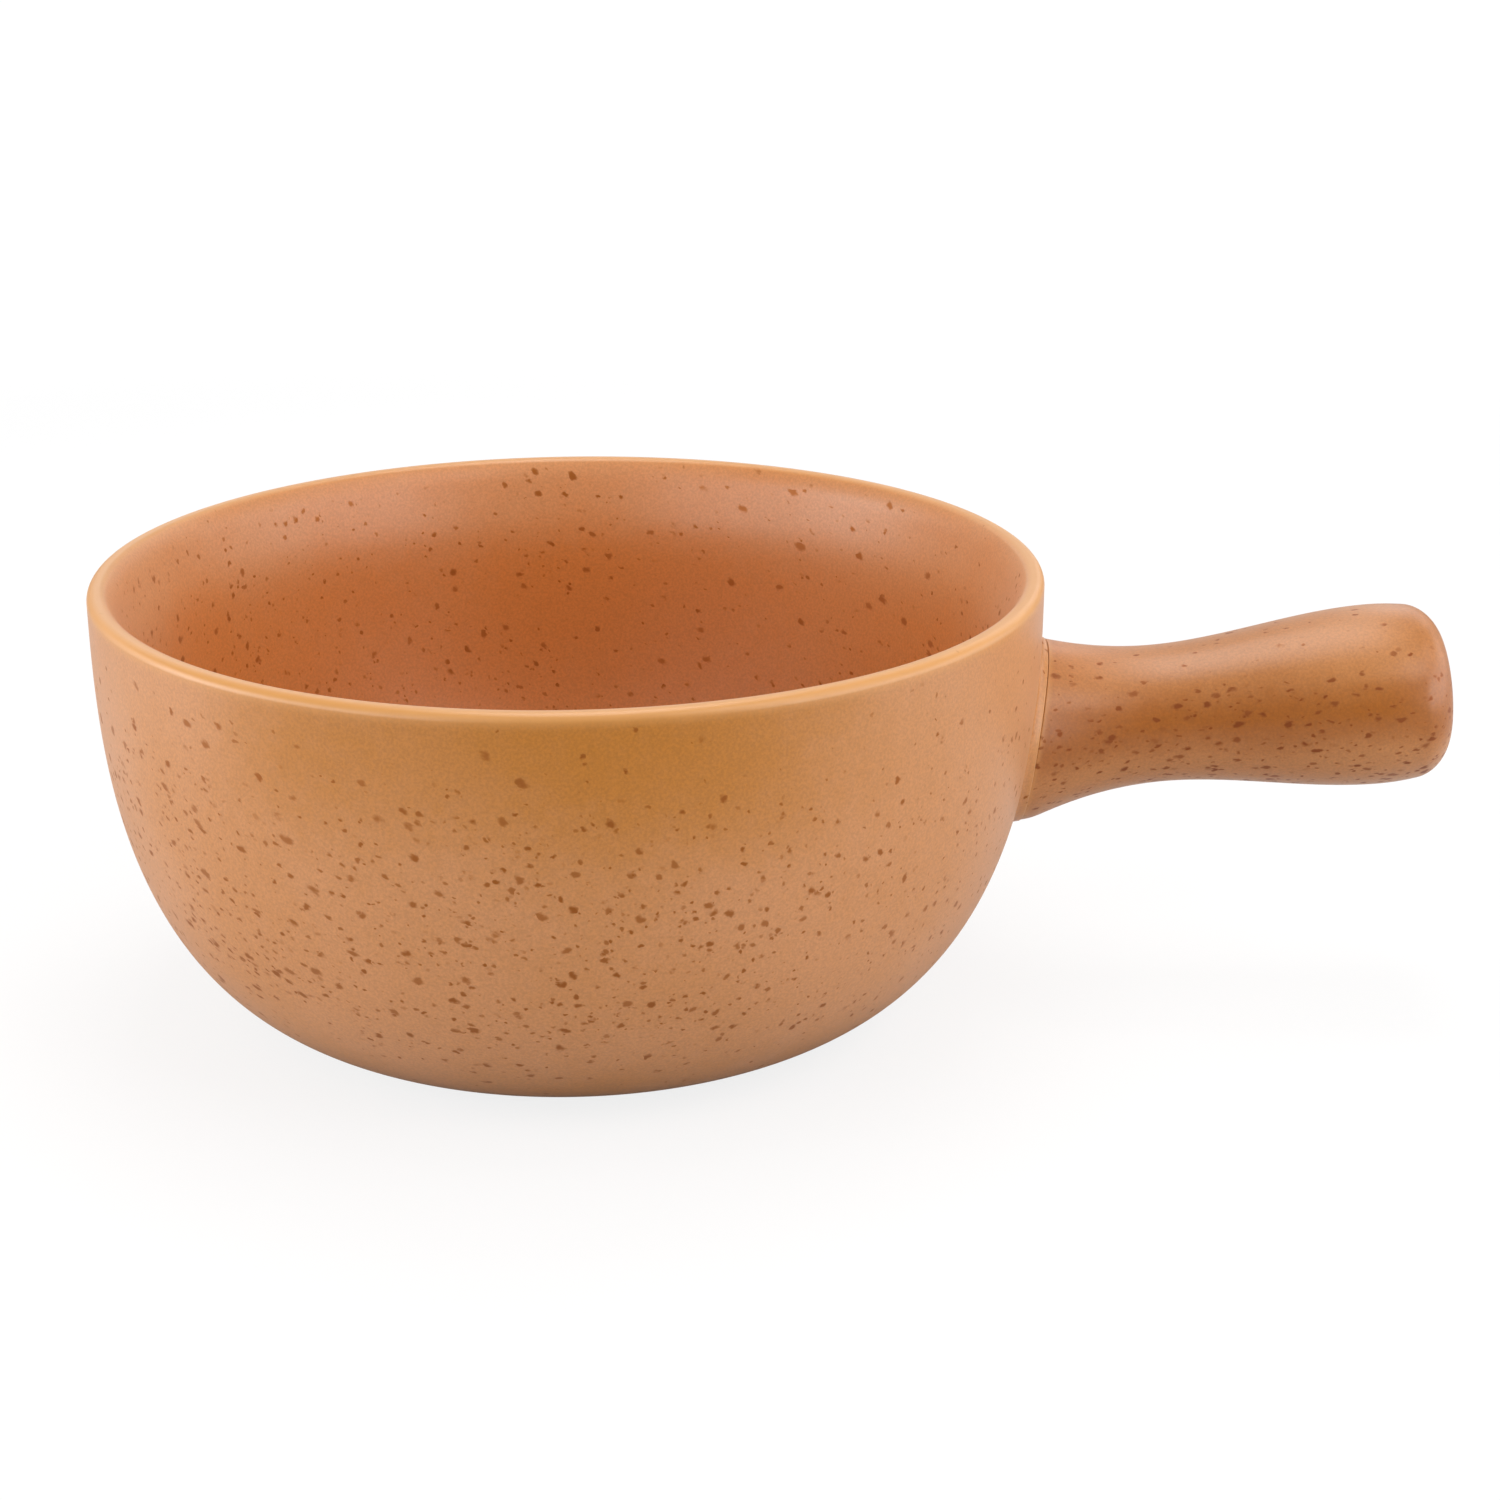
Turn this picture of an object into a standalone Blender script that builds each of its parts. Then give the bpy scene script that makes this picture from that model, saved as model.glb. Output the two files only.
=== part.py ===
"""Fondue pot: a round stoneware bowl with a hollow handle luted to its side.

The base stands on z = 0 with the bowl's axis on +Z, and the handle points along +X.
"""

from math import cos, hypot, pi, radians, sin

import bmesh
import bpy

# Bowl, in metres; its wall is thinnest at the lip, where the inside flares out
RIM_DIAMETER = 0.231
BOWL_HEIGHT = 0.110
BASE_DIAMETER = 0.116
WALL_THICKNESS = 0.005
FLOOR_THICKNESS = 0.008
LIP_ROUNDING = 0.0021
FLARE_WIDTH = 0.0045
FLARE_DEPTH = 0.019
BELLY_WIDTH_POWER = 2.125
BELLY_DEPTH_POWER = 2.675

# Handle, in metres and degrees; distances run along its axis from the bowl's wall
HANDLE_DROP = 0.0412
HANDLE_RISE = 5.4
HANDLE_LENGTH = 0.1022
ROOT_DIAMETER = 0.0456
NECK_DIAMETER = 0.0341
NECK_DISTANCE = 0.0317
HEAD_DIAMETER = 0.0446
HEAD_DISTANCE = 0.0848
END_TAPER = 0.0025
END_ROUNDING = 0.008
HANDLE_WALL = 0.005
VENT_DIAMETER = 0.004
VENT_DISTANCE = 0.018

# Luted joint, in metres
SLIP_THICKNESS = 0.0014
SLIP_FLARE = 0.001
CLEARANCE = 0.0003

# Fineness of the turned surfaces
BOWL_STEPS = 64
HANDLE_STEPS = 36
WALL_POINTS = 18
LIP_POINTS = 4
GRIP_POINTS = 16
END_POINTS = 5
VENT_SIDES = 16
MERGE_DISTANCE = 0.00001

# Sizes that follow from the ones above; each rounding of the lip stays within its share of the wall
LIP_SHARE = 0.45
RIM_RADIUS = RIM_DIAMETER / 2
BASE_RADIUS = BASE_DIAMETER / 2
LIP_RADIUS = min(LIP_ROUNDING, WALL_THICKNESS * LIP_SHARE)
LIP_FOOT = BOWL_HEIGHT - LIP_RADIUS
HANDLE_HEIGHT = BOWL_HEIGHT - HANDLE_DROP
ROOT_DEPTH = ROOT_DIAMETER / 2


def belly(turn, base_radius, rim_radius, floor):
    """Radius and height on a bulging wall that leaves the floor level and meets the lip upright."""
    radius = base_radius + (rim_radius - base_radius) * sin(turn) ** (2 / BELLY_WIDTH_POWER)
    height = floor + (LIP_FOOT - floor) * (1 - max(cos(turn), 0.0) ** (2 / BELLY_DEPTH_POWER))
    return radius, height


def outer_wall(offset=0.0):
    """Outside of the bowl from its base up to its lip, moved out along its normal by offset."""
    points = []
    nudge = 0.001
    for i in range(WALL_POINTS + 1):
        turn = pi / 2 * i / WALL_POINTS
        radius, height = belly(turn, BASE_RADIUS, RIM_RADIUS, 0.0)
        before = belly(max(turn - nudge, 0.0), BASE_RADIUS, RIM_RADIUS, 0.0)
        after = belly(min(turn + nudge, pi / 2), BASE_RADIUS, RIM_RADIUS, 0.0)
        run = after[0] - before[0]
        rise = after[1] - before[1]
        length = hypot(run, rise)
        points.append((radius + offset * rise / length, height - offset * run / length))
    return points


def swell(share):
    """How far a bulging wall has widened at a share of its height, from 0 at its floor to 1 at its lip."""
    return (1 - (1 - share) ** BELLY_DEPTH_POWER) ** (1 / BELLY_WIDTH_POWER)


def inner_wall():
    """Inside of the bowl: a belly up from the floor, then a straight flare out to the lip."""
    floor_radius = BASE_RADIUS - WALL_THICKNESS
    mouth_radius = RIM_RADIUS - WALL_THICKNESS
    body_radius = mouth_radius - FLARE_WIDTH
    flare_foot = LIP_FOOT - FLARE_DEPTH
    turns = [pi / 2 * i / WALL_POINTS for i in range(WALL_POINTS + 1)]
    body = [belly(turn, floor_radius, body_radius, FLOOR_THICKNESS) for turn in turns]
    foot_share = (flare_foot - FLOOR_THICKNESS) / (LIP_FOOT - FLOOR_THICKNESS)
    foot_radius = floor_radius + (body_radius - floor_radius) * swell(foot_share)
    below = [point for point in body if point[1] < flare_foot]
    return [*below, (foot_radius, flare_foot), (mouth_radius, LIP_FOOT)]


def lip():
    """Points over the rounded lip, from its inner edge to its outer edge, without the two ends."""
    turns = [pi / 2 * i / LIP_POINTS for i in range(1, LIP_POINTS + 1)]
    arc = [(LIP_RADIUS * cos(turn), LIP_FOOT + LIP_RADIUS * sin(turn)) for turn in turns]
    inner_centre = RIM_RADIUS - WALL_THICKNESS + LIP_RADIUS
    outer_centre = RIM_RADIUS - LIP_RADIUS
    inner = [(inner_centre - out, height) for out, height in arc]
    outer = [(outer_centre + out, height) for out, height in reversed(arc)]
    return inner + outer


def wall_radius(height):
    """Outer radius of the bowl at a height on its wall."""
    return BASE_RADIUS + (RIM_RADIUS - BASE_RADIUS) * swell(height / LIP_FOOT)


def grip_radius(distance):
    """Handle's radius before its end is rounded: flared root, slim neck, full head, slight taper."""
    neck = NECK_DIAMETER / 2
    if distance <= NECK_DISTANCE:
        flare = ((NECK_DISTANCE - distance) / NECK_DISTANCE) ** 2
        return neck + (ROOT_DIAMETER / 2 - neck) * flare
    if distance <= HEAD_DISTANCE:
        share = (distance - NECK_DISTANCE) / (HEAD_DISTANCE - NECK_DISTANCE)
        growth = share * share * (3 - 2 * share)
        return neck + (HEAD_DIAMETER - NECK_DIAMETER) / 2 * growth
    share = (distance - HEAD_DISTANCE) / (HANDLE_LENGTH - HEAD_DISTANCE)
    return HEAD_DIAMETER / 2 - END_TAPER * share ** 2


def handle_profile(inset):
    """Handle's outline from the middle of its end back into the bowl's wall, moved in by inset."""
    end = HANDLE_LENGTH - inset
    rounding = max(END_ROUNDING - inset, inset / 2)
    points = [(0.0, end)]
    for i in range(END_POINTS):
        turn = pi / 2 * i / END_POINTS
        distance = end - rounding * (1 - cos(turn))
        points.append((grip_radius(distance) - inset - rounding * (1 - sin(turn)), distance))
    grip_length = end - rounding + ROOT_DEPTH
    for i in range(GRIP_POINTS + 1):
        distance = end - rounding - grip_length * i / GRIP_POINTS
        points.append((grip_radius(distance) - inset, distance))
    return points


def turned(name, profile, steps, closed=False):
    """Object whose profile of (radius, height) points is turned about its own Z axis."""
    edges = [(i, i + 1) for i in range(len(profile) - 1)]
    if closed:
        edges.append((len(profile) - 1, 0))
    mesh = bpy.data.meshes.new(name)
    mesh.from_pydata([(radius, 0.0, height) for radius, height in profile], edges, [])
    piece = bpy.data.objects.new(name, mesh)
    bpy.context.scene.collection.objects.link(piece)
    screw = piece.modifiers.new("turning", "SCREW")
    screw.steps = steps
    screw.render_steps = steps
    screw.use_smooth_shade = True
    screw.use_merge_vertices = True
    screw.merge_threshold = MERGE_DISTANCE
    return piece


def as_cutter(piece):
    """Mark an object as a tool that only shapes other pieces."""
    piece.hide_render = True
    piece.display_type = "WIRE"
    return piece


def cut(piece, tool, operation):
    """Shape a piece with a tool by an exact Boolean."""
    boolean = piece.modifiers.new(tool.name, "BOOLEAN")
    boolean.operation = operation
    boolean.solver = "EXACT"
    boolean.object = tool


def bowl_grown_by(offset):
    """Solid block of the bowl's outside, grown along its normal and carried on above the rim."""
    top = BOWL_HEIGHT + WALL_THICKNESS
    wall = outer_wall(offset)
    profile = [(0.0, top), (RIM_RADIUS + offset, top), *reversed(wall), (0.0, -offset)]
    return as_cutter(turned(f"bowl_grown_{offset * 1000:.1f}mm", profile, BOWL_STEPS))


def glaze(name, colour, roughness):
    """Fired glaze of one plain colour."""
    material = bpy.data.materials.new(name)
    material.use_nodes = True
    shader = material.node_tree.nodes["Principled BSDF"]
    shader.inputs["Base Color"].default_value = (*colour, 1.0)
    shader.inputs["Roughness"].default_value = roughness
    shader.inputs["Metallic"].default_value = 0.0
    return material


def make_bowl(finish):
    """Pot body: the floor and inside wall, the lip, the outside wall and the flat base."""
    profile = [(0.0, FLOOR_THICKNESS), *inner_wall(), *lip(), *reversed(outer_wall()), (0.0, 0.0)]
    bowl = turned("bowl", profile, BOWL_STEPS)
    bowl.data.materials.append(finish)


def make_handle_axis():
    """Empty on the bowl's wall whose Z axis runs along the handle."""
    axis = bpy.data.objects.new("handle_axis", None)
    axis.location = (wall_radius(HANDLE_HEIGHT), 0.0, HANDLE_HEIGHT)
    axis.rotation_euler = (0.0, pi / 2 - radians(HANDLE_RISE), 0.0)
    bpy.context.scene.collection.objects.link(axis)
    return axis


def make_vent_tool(axis):
    """Round tool that drills the vent through the underside of the handle."""
    mesh = bpy.data.meshes.new("vent_tool")
    shape = bmesh.new()
    bmesh.ops.create_cone(
        shape,
        cap_ends=True,
        segments=VENT_SIDES,
        radius1=VENT_DIAMETER / 2,
        radius2=VENT_DIAMETER / 2,
        depth=ROOT_DIAMETER,
    )
    shape.to_mesh(mesh)
    shape.free()
    tool = bpy.data.objects.new("vent_tool", mesh)
    tool.parent = axis
    tool.location = (ROOT_DIAMETER / 2, 0.0, VENT_DISTANCE)
    tool.rotation_euler = (0.0, pi / 2, 0.0)
    bpy.context.scene.collection.objects.link(tool)
    return as_cutter(tool)


def make_handle(axis, finish):
    """Hollow handle, open at its root, which is cut to stand on the slip."""
    outside = handle_profile(0.0)
    cavity = handle_profile(HANDLE_WALL)
    handle = turned("handle", [*outside, *reversed(cavity)], HANDLE_STEPS)
    handle.parent = axis
    cut(handle, bowl_grown_by(CLEARANCE + SLIP_THICKNESS + CLEARANCE), "DIFFERENCE")
    cut(handle, make_vent_tool(axis), "DIFFERENCE")
    handle.data.materials.append(finish)


def make_luting_slip(axis, finish):
    """Collar of slip between the bowl's wall and the handle's open root, a little wider than the root."""
    distances = [ROOT_DEPTH * (1 - 2 * i / GRIP_POINTS) for i in range(GRIP_POINTS + 1)]
    outside = [(grip_radius(distance) + SLIP_FLARE, distance) for distance in distances]
    inside = [(grip_radius(distance) - HANDLE_WALL, distance) for distance in reversed(distances)]
    slip = turned("luting_slip", [*outside, *inside], HANDLE_STEPS, closed=True)
    slip.parent = axis
    cut(slip, bowl_grown_by(CLEARANCE + SLIP_THICKNESS), "INTERSECT")
    cut(slip, bowl_grown_by(CLEARANCE), "DIFFERENCE")
    slip.data.materials.append(finish)


def main():
    for old in list(bpy.data.objects):
        bpy.data.objects.remove(old)
    caramel = glaze("caramel_glaze", (0.50, 0.22, 0.08), 0.35)
    thin_caramel = glaze("thin_caramel_glaze", (0.56, 0.28, 0.11), 0.4)
    make_bowl(caramel)
    axis = make_handle_axis()
    make_handle(axis, caramel)
    make_luting_slip(axis, thin_caramel)


main()
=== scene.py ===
"""Looks of a stoneware fondue pot in speckled satin glaze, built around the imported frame.

Lengths are metres. The base stands on z = 0, the bowl's axis is +Z and the handle points along +X.
Each piece is a stack of rings worked out with numpy: one parameter runs along a profile, the other around it.
"""

from math import cos, pi, radians, sin

import bpy
import numpy as np
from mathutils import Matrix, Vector


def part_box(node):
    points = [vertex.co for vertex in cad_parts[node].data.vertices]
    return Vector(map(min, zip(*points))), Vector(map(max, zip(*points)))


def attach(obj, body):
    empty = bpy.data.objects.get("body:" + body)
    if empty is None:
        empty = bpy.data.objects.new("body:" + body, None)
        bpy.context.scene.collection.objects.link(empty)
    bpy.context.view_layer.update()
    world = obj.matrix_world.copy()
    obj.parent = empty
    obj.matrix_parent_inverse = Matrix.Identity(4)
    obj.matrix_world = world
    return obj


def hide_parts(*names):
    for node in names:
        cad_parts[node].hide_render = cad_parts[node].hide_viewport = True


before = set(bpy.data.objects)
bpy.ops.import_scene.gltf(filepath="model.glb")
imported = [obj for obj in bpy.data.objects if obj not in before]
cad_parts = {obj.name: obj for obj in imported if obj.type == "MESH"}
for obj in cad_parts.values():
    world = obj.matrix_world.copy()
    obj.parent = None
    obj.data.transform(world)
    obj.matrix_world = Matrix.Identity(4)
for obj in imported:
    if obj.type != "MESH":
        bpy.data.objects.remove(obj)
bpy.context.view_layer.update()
BOWL_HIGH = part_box("bowl")[1]

# Bowl: the frame gives its reach, and these values shape its wall
RIM_RADIUS = BOWL_HIGH.x
BOWL_HEIGHT = BOWL_HIGH.z
BASE_RADIUS = 0.058
RIM_WALL = 0.0050
FLOOR_THICKNESS = 0.008
LIP_RADIUS = 0.0021
LIP_FOOT = BOWL_HEIGHT - LIP_RADIUS
BELLY_WIDTH_POWER = 2.125
BELLY_DEPTH_POWER = 2.675

# Inside of the bowl, which opens wider towards the lip and then rolls into it
FLARE_SLOPE = radians(14)
FLARE_DEPTH = 0.017
FLARE_EASE = 0.003
ROLL_SLOPE = radians(22)
ROLL_DEPTH = 0.0045

# Handle, with distances along its axis from the bowl's wall
HANDLE_DROP = 0.0412
HANDLE_HEIGHT = BOWL_HEIGHT - HANDLE_DROP
HANDLE_RISE = radians(5.4)
HANDLE_LENGTH = 0.1022
ROOT_RADIUS = 0.0228
NECK_RADIUS = 0.01705
NECK_DISTANCE = 0.0317
FLARE_STOP = -0.002
FLARE_STOP_EASE = 0.0012
HEAD_RADIUS = 0.0223
HEAD_DISTANCE = 0.0848
END_TAPER = 0.0025
END_ROUNDING = 0.008
VENT_RADIUS = 0.002
VENT_DISTANCE = 0.018
VENT_DEPTH = 0.006
VENT_ROUNDING = 0.0005

# Luted joint, as distances off the bowl's wall
ROOT_STANDOFF = 0.002
ROOT_ROLL = 0.00025
SLIP_FLARE = 0.0022
SLIP_FLARE_LOW = 0.0004
SLIP_CREST = 0.00185
SLIP_CREST_LOW = 0.00225
SLIP_EDGE = 0.00025
SLIP_SINK = 0.0002
HIDDEN_GAP = 0.0003

# Handle's hidden seat on the wall: how far inside the root's outline it starts and stops
SEAT_START = 0.9 * ROOT_RADIUS
SEAT_STOP = 2.5 * ROOT_ROLL

# Slip's foot in the groove: two rings, with their reach in edge roundings and their height in sinks
SLIP_FOOT_REACH = (-1.595, -2.0)
SLIP_FOOT_HEIGHT = (0.5, -1.0)

# Fineness of the meshes: points around a piece, and rings along each stretch of it
BOWL_AROUND = 320
HANDLE_AROUND = 240
INSIDE_RINGS = 120
LIP_RINGS = 34
OUTSIDE_RINGS = 110
BASE_RINGS = 20
SEAT_RINGS = 6
ROOT_EDGE_RINGS = 9
ROOT_RINGS = 110
GRIP_RINGS = 70
END_CORNER_RINGS = 22
END_FACE_RINGS = 16
FILLET_RINGS = 14
CREST_RINGS = 12

# Points along a curve before its rings are spread over it, and halvings that find the handle's root
CURVE_POINTS = 4000
ARC_POINTS = 200
FOCUS_POINTS = 8000
HALVINGS = 40

# Points around the handle crowd at its vent: how many more there are, and over what angle
FOCUS_CROWD = 4
FOCUS_WIDTH = 0.22

# Camera, found by fitting the rim, the outline and the handle to the picture
CAMERA_AIM = np.array([0.0440, 0.0, 0.0619])
CAMERA_AZIMUTH = radians(0.13)
CAMERA_ELEVATION = radians(19.36)
CAMERA_DISTANCE = 0.6962
CAMERA_LENS = 66.8
CAMERA_SENSOR = 36.0
CAMERA_NEAR = 0.01


def smooth_step(low, high, value):
    """Rises from 0 at low to 1 at high along 3t squared minus 2t cubed."""
    share = np.clip((value - low) / (high - low), 0.0, 1.0)
    return share * share * (3 - 2 * share)


def hump(centre, width, value):
    """Bell of height 1: e to the minus squared distance from centre, counted in widths."""
    return np.exp(-(((value - centre) / width) ** 2))


def fade(step, value):
    """Amount that comes in along a smooth step: the step holds the amount and the ends of its span."""
    amount, start, stop = step
    return amount * smooth_step(start, stop, value)


def evenly(curve, count):
    """The same curve with its points spread again at even distances along it."""
    steps = np.linalg.norm(np.diff(curve, axis=0), axis=1)
    along = np.concatenate([[0.0], np.cumsum(steps)])
    wanted = np.linspace(0.0, along[-1], count)
    return np.stack([np.interp(wanted, along, column) for column in curve.T], axis=-1)


# Bowl's shape

def belly(turn, base_radius, rim_radius, floor):
    """Radius and height up a bulging wall, which is a quarter of a superellipse.

    It leaves the floor's edge at no turn and reaches the lip's foot at a quarter turn.
    """
    radius = base_radius + (rim_radius - base_radius) * np.sin(turn) ** (2 / BELLY_WIDTH_POWER)
    fall = np.clip(np.cos(turn), 0.0, None) ** (2 / BELLY_DEPTH_POWER)
    return np.stack([radius, floor + (LIP_FOOT - floor) * (1 - fall)], axis=-1)


def wall_radius(height):
    """Outer radius at a height: the belly's superellipse solved for its radius."""
    fall = np.clip(1 - height / LIP_FOOT, 0.0, 1.0) ** BELLY_DEPTH_POWER
    return BASE_RADIUS + (RIM_RADIUS - BASE_RADIUS) * (1 - fall) ** (1 / BELLY_WIDTH_POWER)


def wall_offset(points):
    """How far points stand off the outer wall: their extra radius times the cosine of the wall's slope."""
    nudge = 0.0002
    height = np.clip(points[..., 2], nudge, LIP_FOOT - nudge)
    extra = np.hypot(points[..., 0], points[..., 1]) - wall_radius(height)
    slope = (wall_radius(height + nudge) - wall_radius(height - nudge)) / (2 * nudge)
    return extra / np.sqrt(1 + slope ** 2)


def flare(depth):
    """Extra inner radius below the lip: a ramp eased out by a logarithm, and a squared roll into the lip."""
    ramp = np.tan(FLARE_SLOPE) * FLARE_EASE * np.logaddexp(0.0, (FLARE_DEPTH - depth) / FLARE_EASE)
    roll = np.tan(ROLL_SLOPE) * np.clip(ROLL_DEPTH - depth, 0.0, None) ** 2 / (2 * ROLL_DEPTH)
    return ramp + roll


def lip_arc(centre, side, start, end):
    """Arc of the lip around a centre radius; side is -1 for its inner edge and 1 for its outer edge."""
    turn = np.linspace(start, end, ARC_POINTS)
    radius = centre + side * LIP_RADIUS * np.cos(turn)
    return np.stack([radius, LIP_FOOT + LIP_RADIUS * np.sin(turn)], axis=-1)


def bowl_profile():
    """Radius and height from the floor's middle up the inside, over the lip and down to the base's middle.

    Also gives, for each point, how far along the outline it lies from the middle of the lip.
    """
    share = np.linspace(0.0, 1.0, CURVE_POINTS) ** 2
    rising = np.concatenate([pi / 4 * share[:-1], pi / 2 - pi / 4 * share[::-1]])
    inner_slope = np.arctan(np.tan(FLARE_SLOPE) + np.tan(ROLL_SLOPE))
    inner_lip = lip_arc(RIM_RADIUS - RIM_WALL + LIP_RADIUS, -1, inner_slope, pi / 2)
    outer_lip = lip_arc(RIM_RADIUS - LIP_RADIUS, 1, pi / 2, 0.0)
    inner_top = inner_lip[0]
    inside = belly(rising, BASE_RADIUS - RIM_WALL, inner_top[0] - flare(0.0), FLOOR_THICKNESS)
    inside[:, 0] += flare(inner_top[1] - inside[:, 1])
    floor_middle = np.array([[0.0, FLOOR_THICKNESS]])
    outside = belly(rising[::-1], BASE_RADIUS, RIM_RADIUS, 0.0)
    base = np.array([[BASE_RADIUS, 0.0], [0.0, 0.0]])
    parts = [
        evenly(np.concatenate([floor_middle, inside, inner_top[None]]), INSIDE_RINGS)[1:-1],
        evenly(np.concatenate([inner_lip, outer_lip]), LIP_RINGS)[:-1],
        evenly(outside, OUTSIDE_RINGS)[:-1],
        evenly(base, BASE_RINGS)[:-1],
    ]
    profile = np.concatenate(parts)
    steps = np.linalg.norm(np.diff(profile, axis=0), axis=1)
    along = np.concatenate([[0.0], np.cumsum(steps)])
    return profile, along - along[len(parts[0]) + len(parts[1]) // 2]


# Handle's shape

def grip_radius(distance):
    """Handle's radius before its end is rounded: squared flare at the root, smooth swell, squared taper.

    The flare stops widening, eased by a logarithm, where the root reaches in under the bowl.
    """
    eased = FLARE_STOP + FLARE_STOP_EASE * np.logaddexp(0.0, (distance - FLARE_STOP) / FLARE_STOP_EASE)
    root = NECK_RADIUS + (ROOT_RADIUS - NECK_RADIUS) * (1 - eased / NECK_DISTANCE) ** 2
    swell = NECK_RADIUS + (HEAD_RADIUS - NECK_RADIUS) * smooth_step(NECK_DISTANCE, HEAD_DISTANCE, distance)
    taper = HEAD_RADIUS - END_TAPER * ((distance - HEAD_DISTANCE) / (HANDLE_LENGTH - HEAD_DISTANCE)) ** 2
    return np.where(distance < NECK_DISTANCE, root, np.where(distance < HEAD_DISTANCE, swell, taper))


def handle_axis():
    """Where the handle's axis meets the wall, and the directions along it, up from it and across it."""
    start = np.array([float(wall_radius(HANDLE_HEIGHT)), 0.0, HANDLE_HEIGHT])
    along = np.array([cos(HANDLE_RISE), 0.0, sin(HANDLE_RISE)])
    up = np.array([-sin(HANDLE_RISE), 0.0, cos(HANDLE_RISE)])
    return start, along, up, np.array([0.0, 1.0, 0.0])


def off_axis(distance, radius, angle):
    """Points at a distance along the handle's axis and a radius off it; the angle counts from the top."""
    start, along, up, side = handle_axis()
    distance, radius, angle = np.broadcast_arrays(distance, radius, angle)
    across = np.cos(angle)[..., None] * up + np.sin(angle)[..., None] * side
    return start + distance[..., None] * along + radius[..., None] * across


def root_distance(standoff, reach, angle):
    """Distance along the axis where the handle, widened by reach, stands off the wall by standoff.

    It is found by halving the stretch between a point inside the bowl and the neck.
    """
    standoff, reach, angle = np.broadcast_arrays(standoff, reach, angle)
    low = np.full(angle.shape, -ROOT_RADIUS)
    high = np.full(angle.shape, NECK_DISTANCE)
    for _ in range(HALVINGS):
        middle = (low + high) / 2
        clear = wall_offset(off_axis(middle, grip_radius(middle) + reach, angle)) > standoff
        low = np.where(clear, low, middle)
        high = np.where(clear, middle, high)
    return high


def root_ring(standoff, reach, angle):
    """Rings around the handle's root, each at its own standoff from the wall and reach beyond the handle."""
    standoff = np.atleast_1d(standoff)[:, None]
    reach = np.atleast_1d(reach)[:, None]
    distance = root_distance(standoff, reach, angle)
    return off_axis(distance, np.maximum(grip_radius(distance) + reach, 0.0), angle)


def angles_around(count, focus=None):
    """Angles once around; a focus draws more of them to it, by inverting the running sum of their density."""
    even = np.linspace(0.0, 2 * pi, count, endpoint=False)
    if focus is None:
        return even
    fine = np.linspace(0.0, 2 * pi, FOCUS_POINTS)
    density = 1 + FOCUS_CROWD * hump(focus, FOCUS_WIDTH, fine)
    total = np.concatenate([[0.0], np.cumsum((density[1:] + density[:-1]) / 2)])
    return np.interp(even / (2 * pi) * total[-1], total, fine)


def vent_dip(distance, angle):
    """Depth of the round vent in the underside: full in its middle, eased to nothing over its rounded rim."""
    across = (angle - pi) * grip_radius(distance)
    from_middle = np.hypot(distance - VENT_DISTANCE, across)
    return VENT_DEPTH * smooth_step(VENT_RADIUS + VENT_ROUNDING, VENT_RADIUS - VENT_ROUNDING, from_middle)


def handle_rings():
    """Handle's rings: its hidden seat on the wall, the rolled root edge, the grip and the rounded end.

    Also gives the middle points that close its two ends.
    """
    angle = angles_around(HANDLE_AROUND, focus=pi)
    seat_reach = np.linspace(-SEAT_START, -SEAT_STOP, SEAT_RINGS)
    seat = root_ring(np.full(SEAT_RINGS, HIDDEN_GAP), seat_reach, angle)
    roll = np.linspace(pi / 2, 0.0, ROOT_EDGE_RINGS)
    edge = root_ring(ROOT_STANDOFF + ROOT_ROLL * (1 - np.sin(roll)), -ROOT_ROLL * (1 - np.cos(roll)), angle)
    root_start = root_distance(ROOT_STANDOFF + ROOT_ROLL, 0.0, angle)
    root = root_start + (NECK_DISTANCE - root_start) * np.linspace(0.0, 1.0, ROOT_RINGS)[1:, None]
    corner_start = HANDLE_LENGTH - END_ROUNDING
    grip = np.linspace(NECK_DISTANCE, corner_start, GRIP_RINGS)[1:, None]
    distance = np.concatenate([root, np.broadcast_to(grip, (GRIP_RINGS - 1, HANDLE_AROUND))])
    shaft = off_axis(distance, grip_radius(distance) - vent_dip(distance, angle), angle)
    turn = np.linspace(0.0, pi / 2, END_CORNER_RINGS)[1:, None]
    corner_distance = corner_start + END_ROUNDING * np.sin(turn)
    corner_radius = grip_radius(corner_distance) - END_ROUNDING * (1 - np.cos(turn))
    corner = off_axis(corner_distance, corner_radius, angle)
    shrink = np.linspace(1.0, 0.0, END_FACE_RINGS)[1:-1, None]
    face = off_axis(np.full_like(shrink, HANDLE_LENGTH), corner_radius[-1] * shrink, angle)
    rings = np.concatenate([seat, edge, shaft, corner, face])
    return rings, seat[0].mean(axis=0), face[-1].mean(axis=0)


# Luting slip's shape

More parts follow.
